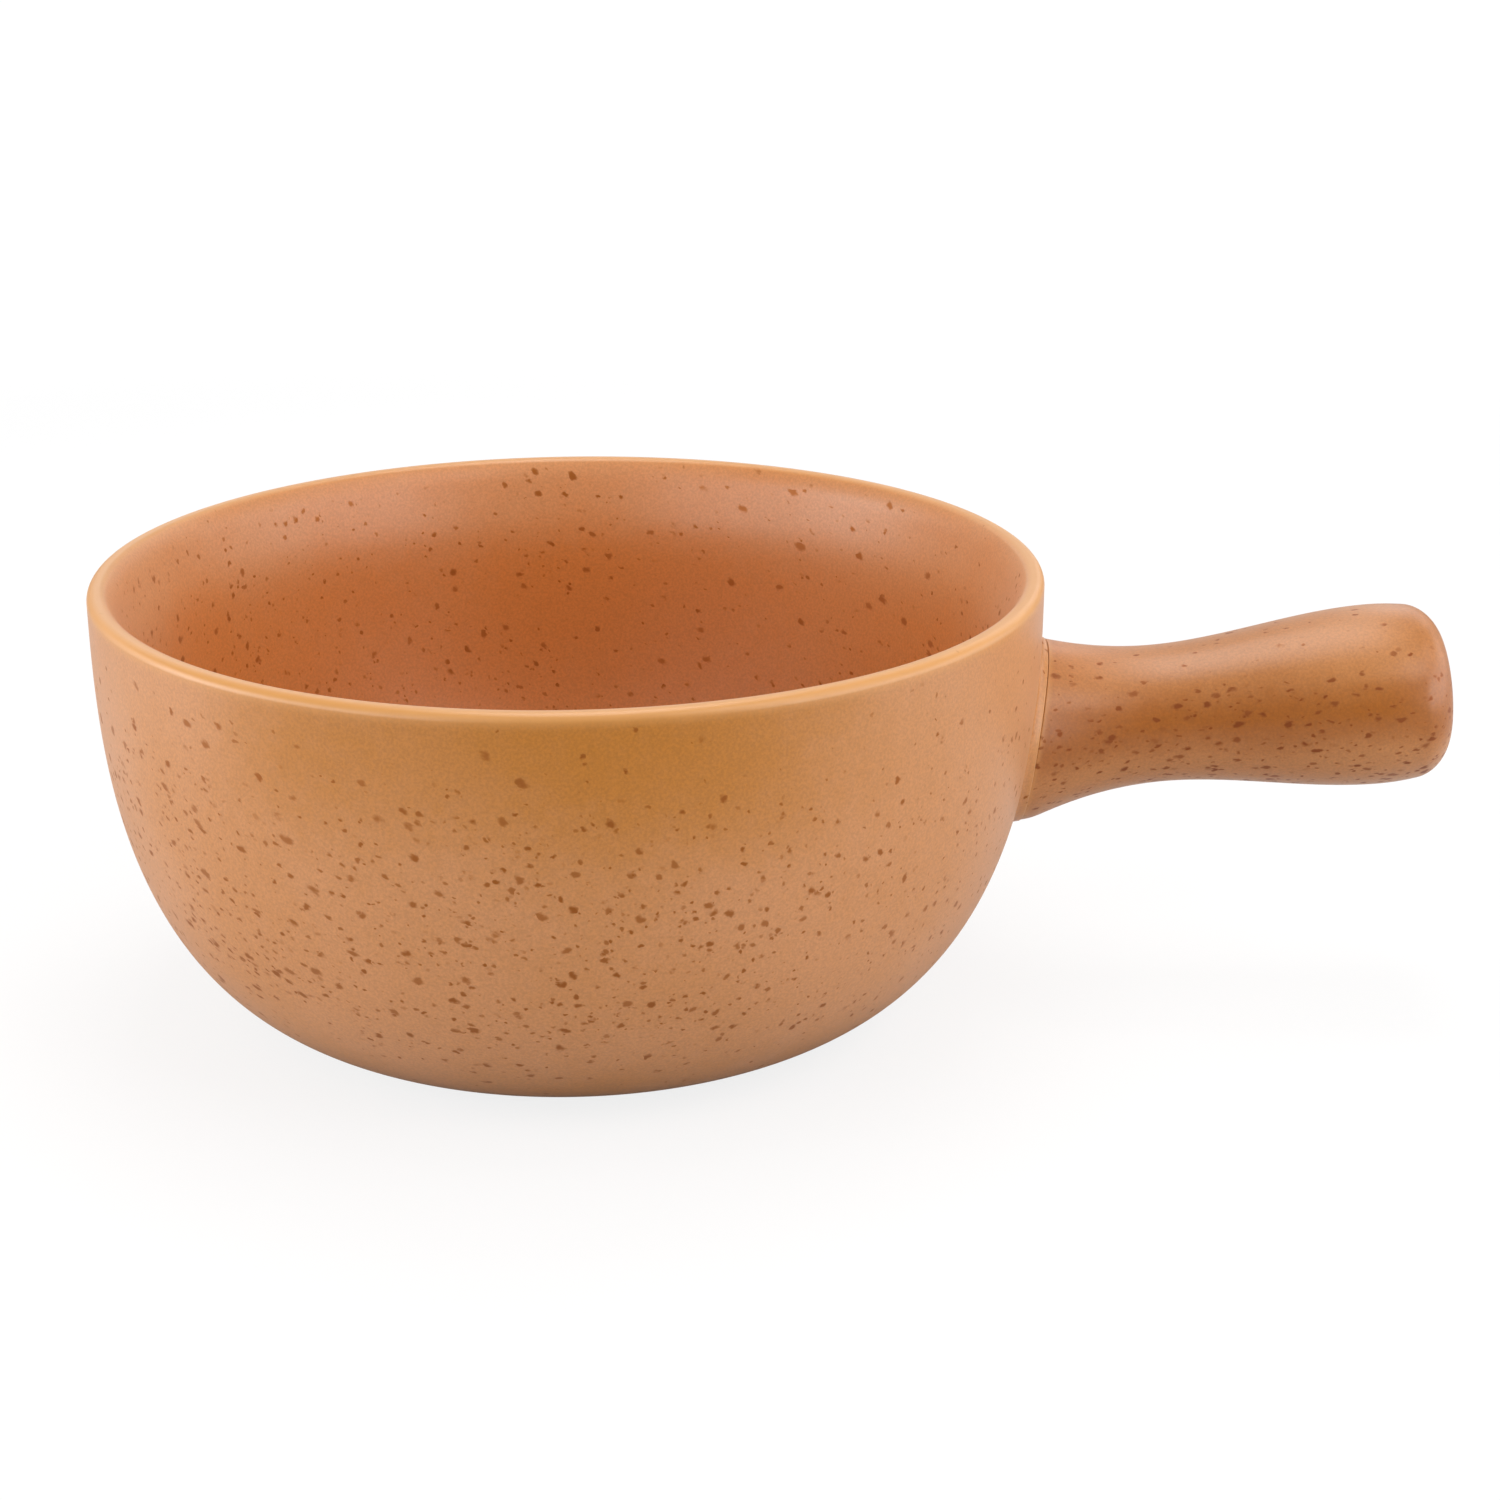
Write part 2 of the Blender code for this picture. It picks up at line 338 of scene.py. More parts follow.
def slip_rings():
    """Slip's closed rings: a hollow fillet up from the wall, a round crest, then down into the groove.

    The fillet spreads most on top of the handle and hardly at all under it.
    """
    angle = angles_around(HANDLE_AROUND)
    low_share = (1 - np.cos(angle)) / 2
    crest = SLIP_CREST + (SLIP_CREST_LOW - SLIP_CREST) * low_share
    spread = SLIP_FLARE + (SLIP_FLARE_LOW - SLIP_FLARE) * low_share
    rise = np.linspace(0.0, pi / 2, FILLET_RINGS)[:, None]
    over = np.linspace(0.0, pi, CREST_RINGS)[1:, None]
    all_around = np.ones(HANDLE_AROUND)
    fillet_reach = spread * (1 - np.sin(rise)) + SLIP_EDGE
    fillet_height = -SLIP_SINK + (crest - SLIP_EDGE + SLIP_SINK) * (1 - np.cos(rise))
    crest_reach = SLIP_EDGE * np.cos(over) * all_around
    crest_height = crest - SLIP_EDGE + SLIP_EDGE * np.sin(over)
    foot_reach = np.outer(SLIP_FOOT_REACH, SLIP_EDGE * all_around)
    foot_height = np.outer(SLIP_FOOT_HEIGHT, SLIP_SINK * all_around)
    reach = np.concatenate([fillet_reach, crest_reach, foot_reach])
    height = np.concatenate([fillet_height, crest_height, foot_height])
    distance = root_distance(height, reach, angle)
    return off_axis(distance, grip_radius(distance) + reach, angle)


# Meshes

def enclosed(points, faces):
    """Six times the signed volume inside faces: a dot (b cross c) summed over each face's triangles."""
    volume = 0.0
    for corner in range(1, faces.shape[1] - 1):
        a, b, c = (points[faces[:, k]] for k in (0, corner, corner + 1))
        volume += np.einsum("ij,ij->", a, np.cross(b, c))
    return volume


def ring_mesh(name, rings, start=None, end=None):
    """Closed object from rings of points.

    A fan around the start and the end point closes each end; without them the last ring meets the first.
    """
    count, around = rings.shape[:2]
    points = rings.reshape(-1, 3)
    ring = np.arange(count if start is None else count - 1)
    low, spoke = np.meshgrid(ring, np.arange(around), indexing="ij")
    high = (low + 1) % count
    turned = (spoke + 1) % around
    corners = [low * around + spoke, low * around + turned, high * around + turned, high * around + spoke]
    faces = [np.stack([corner.ravel() for corner in corners], axis=-1)]
    if start is not None:
        points = np.concatenate([points, start[None], end[None]])
        spoke, turned = spoke[0], turned[0]
        last = (count - 1) * around
        faces.append(np.stack([np.full(around, count * around), turned, spoke], axis=-1))
        faces.append(np.stack([np.full(around, count * around + 1), last + spoke, last + turned], axis=-1))
    if sum(enclosed(points, part) for part in faces) < 0:
        faces = [part[:, ::-1] for part in faces]
    mesh = bpy.data.meshes.new(name)
    mesh.from_pydata(points.tolist(), [], [face for part in faces for face in part.tolist()])
    mesh.shade_smooth()
    mesh.validate()
    piece = bpy.data.objects.new(name, mesh)
    bpy.context.scene.collection.objects.link(piece)
    return piece


def paint(piece, name, values):
    """Store one number for each point of a piece, for its material to read."""
    layer = piece.data.attributes.new(name, "FLOAT", "POINT")
    layer.data.foreach_set("value", np.ascontiguousarray(values, dtype=np.float32))


def points_of(piece):
    """Positions of a piece's points as an array."""
    flat = np.empty(len(piece.data.vertices) * 3)
    piece.data.vertices.foreach_get("co", flat)
    return flat.reshape(-1, 3)


# Node groups shared by the glazes

class Tree:
    """Short hand for adding nodes to a tree: values set a socket, and other sockets are linked to it."""

    def __init__(self, tree):
        self.tree = tree

    def add(self, kind, settings=None, **inputs):
        """New node, with settings on itself and values or links on its named inputs."""
        node = self.tree.nodes.new(kind)
        for key, value in (settings or {}).items():
            setattr(node, key, value)
        for key, value in inputs.items():
            self.put(node.inputs[key.replace("_", " ")], value)
        return node

    def put(self, socket, value):
        """Set a socket's value, or link another socket to it."""
        if isinstance(value, bpy.types.NodeSocket):
            self.tree.links.new(value, socket)
        else:
            socket.default_value = value

    def fill(self, node, values):
        """Put values on a node's inputs in their order, and give its first output."""
        for socket, value in zip(node.inputs, values):
            self.put(socket, value)
        return node.outputs[0]

    def maths(self, operation, *values):
        """One operation on numbers."""
        return self.fill(self.add("ShaderNodeMath", {"operation": operation}), values)

    def vector(self, operation, *values):
        """One operation on vectors."""
        return self.fill(self.add("ShaderNodeVectorMath", {"operation": operation}), values)

    def scaled(self, vector, scale):
        """A vector or colour times a number."""
        node = self.add("ShaderNodeVectorMath", {"operation": "SCALE"}, Scale=scale)
        return self.fill(node, [vector])

    def stretched(self, vector, way, times):
        """Coordinates squeezed along a unit direction, so that a pattern is drawn out along it."""
        along = self.add("ShaderNodeVectorMath", {"operation": "DOT_PRODUCT"})
        self.fill(along, (vector, way))
        squeeze = self.maths("MULTIPLY", along.outputs["Value"], 1 - 1 / times)
        return self.vector("SUBTRACT", vector, self.scaled(way, squeeze))

    def ramp(self, value, low, high, to_low=0.0, to_high=1.0):
        """Smooth step of a value from one range to another."""
        node = self.add("ShaderNodeMapRange", {"interpolation_type": "SMOOTHSTEP"})
        return self.fill(node, (value, low, high, to_low, to_high))

    def mix(self, factor, first, second):
        """Colour between two colours."""
        node = self.add("ShaderNodeMix", {"data_type": "RGBA"})
        self.put(node.inputs["Factor"], factor)
        colours = [socket for socket in node.inputs if socket.type == "RGBA"]
        self.put(colours[0], first)
        self.put(colours[1], second)
        return next(socket for socket in node.outputs if socket.type == "RGBA")

    def attribute(self, name):
        """Number that a piece stores at its points."""
        node = self.add("ShaderNodeAttribute", {"attribute_type": "GEOMETRY", "attribute_name": name})
        return node.outputs["Fac"]

    def noise(self, vector, scale, detail=2.0, roughness=0.5):
        """Noise node."""
        return self.add("ShaderNodeTexNoise", Vector=vector, Scale=scale, Detail=detail, Roughness=roughness)

    def cloud(self, vector, scale, detail=2.0, roughness=0.5):
        """Noise as a number from 0 to 1."""
        return self.noise(vector, scale, detail, roughness).outputs["Fac"]

    def swing(self, vector, scale):
        """Noise that swings as far below 0 as above it."""
        return self.maths("SUBTRACT", self.cloud(vector, scale, detail=3.0), 0.5)

    def group(self, group, **inputs):
        """Outputs of a node group that is placed with its own inputs."""
        return self.add("ShaderNodeGroup", {"node_tree": group}, **inputs).outputs


def new_group(name, inputs, outputs):
    """Shader node group with named inputs and outputs, each given as name and socket type."""
    tree = bpy.data.node_groups.new(name, "ShaderNodeTree")
    for socket_name, kind in inputs.items():
        tree.interface.new_socket(socket_name, in_out="INPUT", socket_type=kind)
    for socket_name, kind in outputs.items():
        tree.interface.new_socket(socket_name, in_out="OUTPUT", socket_type=kind)
    way_in = tree.nodes.new("NodeGroupInput")
    way_out = tree.nodes.new("NodeGroupOutput")
    return Tree(tree), way_in.outputs, way_out.inputs


NUMBER = "NodeSocketFloat"
COLOUR = "NodeSocketColor"
VECTOR = "NodeSocketVector"

# Patterns in the glaze, as repeats in a metre
TINT_CLOUDS = 22.0
TINT_MOTTLE = 240.0
PIGMENT_GRAIN = 1500.0
BREAK_WANDER = 160.0
SKIN_PEEL = 320.0
SKIN_TOOTH = 1900.0
GLOSS_CLOUDS = 45.0
SPECK_PATCHES = 55.0
CLAY_BORDER = 90.0
CLAY_GRAIN = 700.0
CLAY_RINGS = 180.0

# How far the patterns reach: spans of a noise's values, and amounts as shares
NOISE_SPAN = (0.3, 0.7)
GRAIN_SPAN = (0.25, 0.75)
TINT_CLOUD_SHARE = 0.7
TINT_REACH = 0.2
GRAIN_REACH = 0.11
BREAK_REACH = 0.35
BREAK_SPAN = (0.05, 0.95)
GLOSS_REACH = 0.10
PEEL_HEIGHT = 0.6
TOOTH_HEIGHT = 0.25
CLAY_BORDER_REACH = 0.3
CLAY_BORDER_SPAN = (0.60, 0.68)
CLAY_GRAIN_SPAN = (0.35, 0.7)
CLAY_RING_WOBBLE = 1.2
CLAY_RING_HEIGHT = 0.8
CLAY_SINK = 2.0
CLAY_DULLING = 0.45

# Sizes of iron speck: cells in a metre, and radius, softness and faintest strength as shares
COARSE_SPECKS = {"Cells": 385.0, "Radius": 0.38, "Softness": 0.40, "Faintest": 0.75}
HANDLE_SPECKS = {"Cells": 450.0, "Radius": 0.37, "Softness": 0.40, "Faintest": 0.75}
FINE_SPECKS = {"Cells": 590.0, "Radius": 0.32, "Softness": 0.50, "Faintest": 0.24}
FINE_SHARE = 0.8

# How specks are drawn: their surface, their patches, their sizes and the raggedness of their cells
SPECK_METAL = 0.5
SPECK_DULLING = 0.2
SPECK_SINK = 0.3
SPECK_PATCHINESS = (0.5, 1.3)
SMALLEST_SPECK = 0.38
LARGE_SPECK_POWER = 2.2
RAGGED_CELLS = 1.1
RAGGED_REACH = 0.9
LOT_EDGE = 0.02

# Ways in which the specks are drawn out, and how many times longer they get
SPECK_STRETCH = 1.65
BOWL_STREAK = (0.709, -0.609, -0.355)
HANDLE_STREAK = (cos(HANDLE_RISE), 0.0, sin(HANDLE_RISE))


def make_speckle_group():
    """Iron specks: ragged cells of a 3-D Voronoi, soft at the edge, most of them small.

    A cell's own random colour draws its lots: whether it holds a speck, how large and how strong.
    """
    tree, given, result = new_group(
        "iron_specks",
        {name: NUMBER for name in ("Cells", "Radius", "Softness", "Share", "Faintest")} | {"Vector": VECTOR},
        {"Specks": NUMBER},
    )
    ragged = tree.noise(given["Vector"], tree.maths("MULTIPLY", given["Cells"], RAGGED_CELLS), roughness=0.6)
    shift = tree.vector("SUBTRACT", ragged.outputs["Color"], (0.5, 0.5, 0.5))
    moved = tree.scaled(shift, tree.maths("DIVIDE", RAGGED_REACH, given["Cells"]))
    place = tree.vector("ADD", given["Vector"], moved)
    cells = tree.add("ShaderNodeTexVoronoi", Vector=place, Scale=given["Cells"], Randomness=1.0)
    lots = tree.add("ShaderNodeSeparateColor", Color=cells.outputs["Color"]).outputs
    present = tree.ramp(tree.maths("SUBTRACT", given["Share"], lots["Red"]), -LOT_EDGE, LOT_EDGE)
    large = tree.maths("POWER", lots["Green"], LARGE_SPECK_POWER)
    share = tree.maths("MULTIPLY_ADD", large, 1 - SMALLEST_SPECK, SMALLEST_SPECK)
    size = tree.maths("MULTIPLY", given["Radius"], share)
    fade_out = tree.maths("MULTIPLY", size, given["Softness"])
    inner = tree.maths("SUBTRACT", size, fade_out)
    spot = tree.ramp(cells.outputs["Distance"], inner, tree.maths("ADD", size, fade_out), 1.0, 0.0)
    strength = tree.ramp(lots["Blue"], 0.0, 1.0, given["Faintest"], 1.0)
    tree.put(result["Specks"], tree.maths("MULTIPLY", tree.maths("MULTIPLY", spot, present), strength))
    return tree.tree


def make_drift_group():
    """Slow drift of the glaze's colour between two tints, with a finer mottle and its pigment's grain."""
    tree, given, result = new_group(
        "glaze_drift",
        {"Vector": VECTOR, "Thick": COLOUR, "Thin": COLOUR, "Lean": NUMBER},
        {"Color": COLOUR},
    )
    wide = tree.maths("MULTIPLY", tree.cloud(given["Vector"], TINT_CLOUDS), TINT_CLOUD_SHARE)
    mottle = tree.cloud(given["Vector"], TINT_MOTTLE, detail=3.0, roughness=0.6)
    cloud = tree.maths("MULTIPLY_ADD", mottle, 1 - TINT_CLOUD_SHARE, wide)
    # The Lean painted on a piece holds the glaze's own tint, and also painted light and painted shade
    lean = tree.maths("ADD", tree.ramp(cloud, *NOISE_SPAN, -TINT_REACH, TINT_REACH), given["Lean"])
    tint = tree.mix(tree.ramp(lean, 0.0, 1.0), given["Thick"], given["Thin"])
    grain = tree.cloud(given["Vector"], PIGMENT_GRAIN, roughness=0.6)
    shade = tree.ramp(grain, *GRAIN_SPAN, 1 - GRAIN_REACH, 1 + GRAIN_REACH)
    tree.put(result["Color"], tree.scaled(tint, shade))
    return tree.tree


def make_break_group():
    """Glaze that runs thin over an edge and shows paler there, with an uneven border."""
    tree, given, result = new_group(
        "edge_break",
        {"Vector": VECTOR, "Thin": NUMBER, "Glaze": COLOUR, "Pale": COLOUR},
        {"Color": COLOUR},
    )
    wander = tree.maths("MULTIPLY_ADD", tree.swing(given["Vector"], BREAK_WANDER), BREAK_REACH, 1.0)
    edge = tree.ramp(tree.maths("MULTIPLY", given["Thin"], wander), *BREAK_SPAN)
    tree.put(result["Color"], tree.mix(edge, given["Glaze"], given["Pale"]))
    return tree.tree


def make_skin_group():
    """Satin skin: faint orange peel with finer tooth, and a roughness that wanders a little.

    Specks are duller than the glaze, slightly sunk and partly metal.
    """
    tree, given, result = new_group(
        "satin_skin",
        {"Vector": VECTOR, "Roughness": NUMBER, "Specks": NUMBER},
        {"Roughness": NUMBER, "Metallic": NUMBER, "Height": NUMBER},
    )
    gloss = tree.swing(given["Vector"], GLOSS_CLOUDS)
    clouded = tree.maths("MULTIPLY_ADD", gloss, GLOSS_REACH, given["Roughness"])
    tree.put(result["Roughness"], tree.maths("MULTIPLY_ADD", given["Specks"], SPECK_DULLING, clouded))
    tree.put(result["Metallic"], tree.maths("MULTIPLY", given["Specks"], SPECK_METAL))
    peel = tree.maths("MULTIPLY", tree.cloud(given["Vector"], SKIN_PEEL), PEEL_HEIGHT)
    relief = tree.maths("MULTIPLY_ADD", tree.cloud(given["Vector"], SKIN_TOOTH), TOOTH_HEIGHT, peel)
    tree.put(result["Height"], tree.maths("MULTIPLY_ADD", given["Specks"], -SPECK_SINK, relief))
    return tree.tree


SPECKS = make_speckle_group()
DRIFT = make_drift_group()
BREAK = make_break_group()
SKIN = make_skin_group()

# Finishes, as linear colours
CARAMEL = (0.572, 0.247, 0.090, 1.0)
# The bowl's darker tint, which is also the colour of its painted shade under the lip at front and back and
# towards the foot
OCHRE_AND_SHADE = (0.485, 0.174, 0.014, 1.0)
# The inside's darker tint, which is also the colour of the painted shade deep in the bowl
RUSSET_AND_SHADE = (0.562, 0.189, 0.036, 1.0)
PALE_EDGE = (0.660, 0.305, 0.085, 1.0)
# The handle's paler tint, which is also the colour of the painted light on its top and the painted floor
# reflection under it
LIT_TOFFEE = (0.500, 0.195, 0.050, 1.0)
DEEP_TOFFEE = (0.368, 0.107, 0.005, 1.0)
IRON = (0.335, 0.090, 0.000, 1.0)
DARK_IRON = (0.260, 0.056, 0.000, 1.0)
CLAY = (0.52, 0.38, 0.25, 1.0)
DARK_CLAY = (0.40, 0.27, 0.17, 1.0)
GLAZE_ROUGHNESS = 0.38
GLAZE_IOR = 1.58
GLAZE_SHEEN = 0.12
GLAZE_RELIEF = 0.00004


def glaze_nodes(tree, thick=CARAMEL, thin=OCHRE_AND_SHADE, iron=IRON, streak=BOWL_STREAK, large=COARSE_SPECKS):
    """Coordinates, glaze's colour and the skin's outputs; the numbers painted on the piece steer them."""
    place = tree.add("ShaderNodeTexCoord").outputs["Object"]
    tint = tree.group(DRIFT, Vector=place, Thick=thick, Thin=thin, Lean=tree.attribute("tint_and_painted_light"))["Color"]
    glaze = tree.group(BREAK, Vector=place, Thin=tree.attribute("thin"), Glaze=tint, Pale=PALE_EDGE)["Color"]
    patchy = tree.ramp(tree.cloud(place, SPECK_PATCHES), *NOISE_SPAN, *SPECK_PATCHINESS)
    share = tree.maths("MULTIPLY", tree.attribute("speckle"), patchy)
    drawn = tree.stretched(place, streak, SPECK_STRETCH)
    coarse = tree.group(SPECKS, Vector=drawn, Share=share, **large)["Specks"]
    fewer = tree.maths("MULTIPLY", share, FINE_SHARE)
    fine = tree.group(SPECKS, Vector=drawn, Share=fewer, **FINE_SPECKS)["Specks"]
    specks = tree.maths("MAXIMUM", coarse, fine)
    skin = tree.group(SKIN, Vector=place, Roughness=GLAZE_ROUGHNESS, Specks=specks)
    return place, tree.mix(specks, glaze, iron), skin


def finish_material(tree, colour, roughness, metallic, height):
    """Principled shader fed by a colour, a roughness, a share of metal and a bump height."""
    bump = tree.add("ShaderNodeBump", Strength=1.0, Distance=GLAZE_RELIEF, Height=height)
    shader = tree.tree.nodes["Principled BSDF"]
    tree.put(shader.inputs["Base Color"], colour)
    tree.put(shader.inputs["Roughness"], roughness)
    tree.put(shader.inputs["Metallic"], metallic)
    tree.put(shader.inputs["Normal"], bump.outputs["Normal"])
    shader.inputs["IOR"].default_value = GLAZE_IOR
    shader.inputs["Sheen Weight"].default_value = GLAZE_SHEEN


def new_material(name):
    """Empty material with nodes, and the short hand for its tree."""
    material = bpy.data.materials.new(name)
    material.use_nodes = True
    return material, Tree(material.node_tree)


def bowl_glaze():
    """Speckled glaze that stops at the foot, where wiped clay with fine turning marks shows."""
    material, tree = new_material("bowl_glaze")
    thin = tree.mix(tree.attribute("inside"), OCHRE_AND_SHADE, RUSSET_AND_SHADE)
    place, colour, skin = glaze_nodes(tree, thin=thin)
    uneven = tree.cloud(place, CLAY_BORDER, detail=3.0)
    border = tree.maths("MULTIPLY_ADD", uneven, CLAY_BORDER_REACH, tree.attribute("bare_clay"))
    bare = tree.ramp(border, *CLAY_BORDER_SPAN)
    glazed = tree.maths("SUBTRACT", 1.0, bare)
    grain = tree.cloud(place, CLAY_GRAIN, detail=3.0)
    clay = tree.mix(tree.ramp(grain, *CLAY_GRAIN_SPAN), CLAY, DARK_CLAY)
    rings = tree.add(
        "ShaderNodeTexWave",
        {"wave_type": "RINGS", "rings_direction": "Z"},
        Vector=place, Scale=CLAY_RINGS, Distortion=CLAY_RING_WOBBLE, Detail=2.0,
    )
    turned = tree.maths("MULTIPLY_ADD", rings.outputs["Fac"], CLAY_RING_HEIGHT, grain)
    clay_height = tree.maths("SUBTRACT", turned, CLAY_SINK)
    finish_material(
        tree,
        tree.mix(bare, colour, clay),
        tree.maths("MULTIPLY_ADD", bare, CLAY_DULLING, skin["Roughness"]),
        tree.maths("MULTIPLY", skin["Metallic"], glazed),
        tree.maths("MULTIPLY_ADD", clay_height, bare, skin["Height"]),
    )
    return material


def handle_glaze():
    """A deeper glaze on the handle, with darker specks drawn out along it."""
    material, tree = new_material("handle_glaze")
    _, colour, skin = glaze_nodes(tree, DEEP_TOFFEE, LIT_TOFFEE, DARK_IRON, HANDLE_STREAK, HANDLE_SPECKS)
    finish_material(tree, colour, skin["Roughness"], skin["Metallic"], skin["Height"])
    return material


def slip_glaze():
    """Glaze over the luting slip, which breaks paler along the crest."""
    material, tree = new_material("slip_glaze")
    _, colour, skin = glaze_nodes(tree)
    finish_material(tree, colour, skin["Roughness"], skin["Metallic"], skin["Height"])
    return material


# Pieces

# Bowl's glaze: amounts, and steps of an amount between two depths below the rim
BOWL_SPECKS = 0.10
SPECKS_GATHER = (0.95, 0.006, 0.045)
SPECKS_THIN_OUT = (-0.95, 0.068, 0.102)
INSIDE_SPECKS = 0.30
INSIDE_GATHER = (0.12, 0.010, 0.060)
BOWL_OCHRE = 0.18
# Painted shade: where the upper wall faces front and back it is painted darker and more ochre, as if it took
# no sheen from the side lights
SHADE_UNDER_LIP = (0.78, 0.050, 0.005)
# Painted shade: the wall is painted darker and more ochre towards the foot, near the floor
FOOT_SHADE = (0.5, 0.080, 0.105)
INSIDE_OCHRE = 0.25
# Painted shade: deeper inside the bowl the glaze is painted darker and redder
INSIDE_SHADE_DEEPENS = (0.60, 0.010, 0.035)

# Steps by which way the wall faces: painted shade on the upper wall facing across the handle's line, to the
# front and the back, and fewer specks towards the handle
SHADE_FACING_ACROSS = (1.0, 0.70, 1.02)
FEWER_BY_HANDLE = (-0.6, -0.2, 1.0)

# Lip and foot, as distances along the bowl's outline
LIP_BREAK_CENTRE = 0.0005
LIP_BREAK_WIDTH = 0.0032
LIP_CLEAR = (1.0, 0.002, 0.009)
CLAY_MARGIN = 0.004
BASE_TOLERANCE = 1e-6

# Handle's glaze: amounts, and steps between two heights over its axis or two distances along it
HANDLE_OCHRE = 0.02
# Painted light: the handle's top is painted paler, as if lit from above
PAINTED_LIGHT_TOP = (0.74, 0.002, 0.016)
# Painted reflection: the handle's underside is painted paler, as if it reflected the floor
FLOOR_REFLECTION_BELOW = (0.95, 0.003, -0.011)
# Painted shade: the handle is painted darker towards its end
SHADED_END = (-0.35, 0.084, 0.098)
HANDLE_SPECK_SHARE = 0.16
HANDLE_GATHER = (1.0, 0.014, 0.004)
HANDLE_THIN_OUT = (-0.35, -0.010, -0.018)
ROOT_BREAK = 0.5
ROOT_BREAK_WIDTH = 0.0012
END_BREAK = 0.1
END_BREAK_INSET = 0.002
END_BREAK_WIDTH = 0.0035

# Slip's glaze: amounts, and a step between two distances off the bowl's wall
SLIP_SPECK_SHARE = 0.4
SLIP_OCHRE = 0.45
PALE_CREST = (0.45, 0.0005, 0.0016)


def make_bowl():
    """Bowl with the glaze's thin places, tints, bare foot and speckle density painted on its points; the
    tints also carry painted shade under the lip at front and back, towards the foot and deep inside.
    """
    profile, from_lip = bowl_profile()
    from_lip = from_lip[:, None]
    angle = angles_around(BOWL_AROUND)
    size = (len(profile), BOWL_AROUND)
    radius, height = profile[:, :1], profile[:, 1:]
    rings = np.stack([radius * np.cos(angle), radius * np.sin(angle), np.broadcast_to(height, size)], axis=-1)
    piece = ring_mesh("glazed_bowl", rings, np.array([0.0, 0.0, FLOOR_THICKNESS]), np.zeros(3))

    def paint_bowl(name, values):
        """Paint a grid, or one column for all angles; the middle points take their nearest ring's value."""
        grid = np.broadcast_to(values, size)
        paint(piece, name, np.concatenate([grid.ravel(), [grid[0, 0], grid[-1, 0]]]))

    outside = from_lip > 0
    on_base = outside & (height < BASE_TOLERANCE)
    depth = BOWL_HEIGHT - height
    outer_specks = BOWL_SPECKS + fade(SPECKS_GATHER, depth) + fade(SPECKS_THIN_OUT, depth)
    outer_specks = outer_specks * (1 + fade(FEWER_BY_HANDLE, np.cos(angle)))
    inner_specks = INSIDE_SPECKS + fade(INSIDE_GATHER, depth)
    # Painted shade under the lip at front and back, and towards the foot, added to the wall's own tint
    painted_shade_near_lip = fade(SHADE_UNDER_LIP, depth) * fade(SHADE_FACING_ACROSS, np.abs(np.sin(angle)))
    outer_tint_and_shade = BOWL_OCHRE + painted_shade_near_lip + fade(FOOT_SHADE, depth)
    # Painted shade: deeper inside, the glaze leans further to its darker, redder tint
    inner_tint_and_shade = INSIDE_OCHRE + fade(INSIDE_SHADE_DEEPENS, depth)
    bare_clay = smooth_step(BASE_RADIUS, BASE_RADIUS - CLAY_MARGIN, radius)
    paint_bowl("thin", hump(LIP_BREAK_CENTRE, LIP_BREAK_WIDTH, from_lip))
    paint_bowl("bare_clay", np.where(on_base, bare_clay, 0.0))
    paint_bowl("speckle", np.where(outside, outer_specks, inner_specks) * fade(LIP_CLEAR, np.abs(from_lip)))
    paint_bowl("tint_and_painted_light", np.where(outside, outer_tint_and_shade, inner_tint_and_shade))
    paint_bowl("inside", np.where(outside, 0.0, 1.0))
    piece.data.materials.append(bowl_glaze())
    return piece


def make_handle():
    """Handle whose specks gather on its lower side, and whose glaze is painted palest on top as painted light
    from above, pale underneath as a painted reflection of the floor, and darker at its end as painted shade.
    """
    rings, start_middle, end_middle = handle_rings()
    piece = ring_mesh("glazed_handle", rings, start_middle, end_middle)
    points = points_of(piece)
    start, axis, up, _ = handle_axis()
    along = (points - start) @ axis
    lift = (points - start) @ up
    root_edge = hump(ROOT_STANDOFF + ROOT_ROLL / 2, ROOT_BREAK_WIDTH, wall_offset(points))
    root_edge = root_edge * (along < NECK_DISTANCE)
    end_edge = hump(HANDLE_LENGTH - END_BREAK_INSET, END_BREAK_WIDTH, along)
    # Painted light on the handle's top and a painted floor reflection under it, added to its own tint
    tint_and_painted_light = HANDLE_OCHRE + fade(PAINTED_LIGHT_TOP, lift) + fade(FLOOR_REFLECTION_BELOW, lift)
    paint(piece, "thin", ROOT_BREAK * root_edge + END_BREAK * end_edge)
    paint(piece, "speckle", HANDLE_SPECK_SHARE + fade(HANDLE_GATHER, lift) + fade(HANDLE_THIN_OUT, lift))
    # Painted shade: the tint leans darker towards the handle's end
    paint(piece, "tint_and_painted_light", tint_and_painted_light + fade(SHADED_END, along))
    piece.data.materials.append(handle_glaze())
    return piece


def make_slip():
    """Luting slip, whose glaze is thin along its crest and like the bowl's at its toe."""
    piece = ring_mesh("luting_slip_collar", slip_rings())
    standoff = wall_offset(points_of(piece))
    paint(piece, "thin", fade(PALE_CREST, standoff))
    paint(piece, "speckle", np.full(len(standoff), SLIP_SPECK_SHARE))
    paint(piece, "tint_and_painted_light", np.full(len(standoff), SLIP_OCHRE))
    piece.data.materials.append(slip_glaze())
    return piece


# Stage, light and camera

